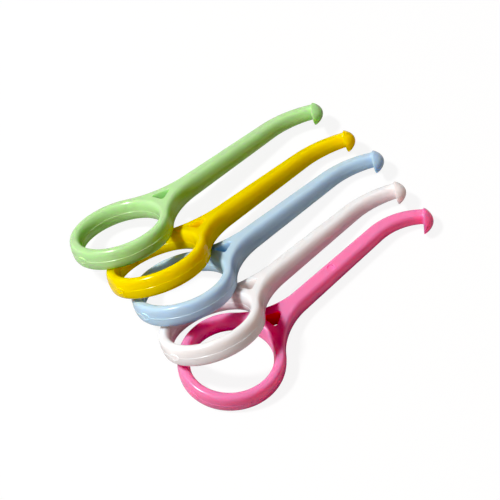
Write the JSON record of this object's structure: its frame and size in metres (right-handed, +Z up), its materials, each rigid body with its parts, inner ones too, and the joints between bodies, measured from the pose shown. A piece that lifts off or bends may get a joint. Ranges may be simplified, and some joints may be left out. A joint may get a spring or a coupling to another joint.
{
  "type": "finger-ring hook set",
  "caption": "Fanned set of one-piece plastic hooks: a finger ring, a webbed tapering arm that turns to one side, and a small domed head that hooks under an edge.",
  "frame": {"origin": "middle of the fan in plan, on the surface the hooks lie on", "axes": "+X along the arms from rings to heads, +Z up off the surface, +Y across the fan from the lowest hook to the highest"},
  "size_m": [0.0906, 0.074, 0.0205],
  "materials": {
    "pink_hook": "gloss moulded",
    "white_hook": "gloss moulded",
    "blue_hook": "gloss moulded",
    "yellow_hook": "gloss moulded",
    "green_hook": "gloss moulded"
  },
  "bodies": {
    "pink": {"pink_hook": "pink_hook"},
    "white": {"white_hook": "white_hook"},
    "blue": {"blue_hook": "blue_hook"},
    "yellow": {"yellow_hook": "yellow_hook"},
    "green": {"green_hook": "green_hook"}
  },
  "joints": [
    {"name": "white_lift", "type": "slide", "parent": "pink", "child": "white", "axis": [0, 0, 1], "range_m": [0, 0.03]},
    {"name": "blue_lift", "type": "slide", "parent": "white", "child": "blue", "axis": [0, 0, 1], "range_m": [0, 0.03]},
    {"name": "yellow_lift", "type": "slide", "parent": "blue", "child": "yellow", "axis": [0, 0, 1], "range_m": [0, 0.03]},
    {"name": "green_lift", "type": "slide", "parent": "yellow", "child": "green", "axis": [0, 0, 1], "range_m": [0, 0.03]}
  ]
}
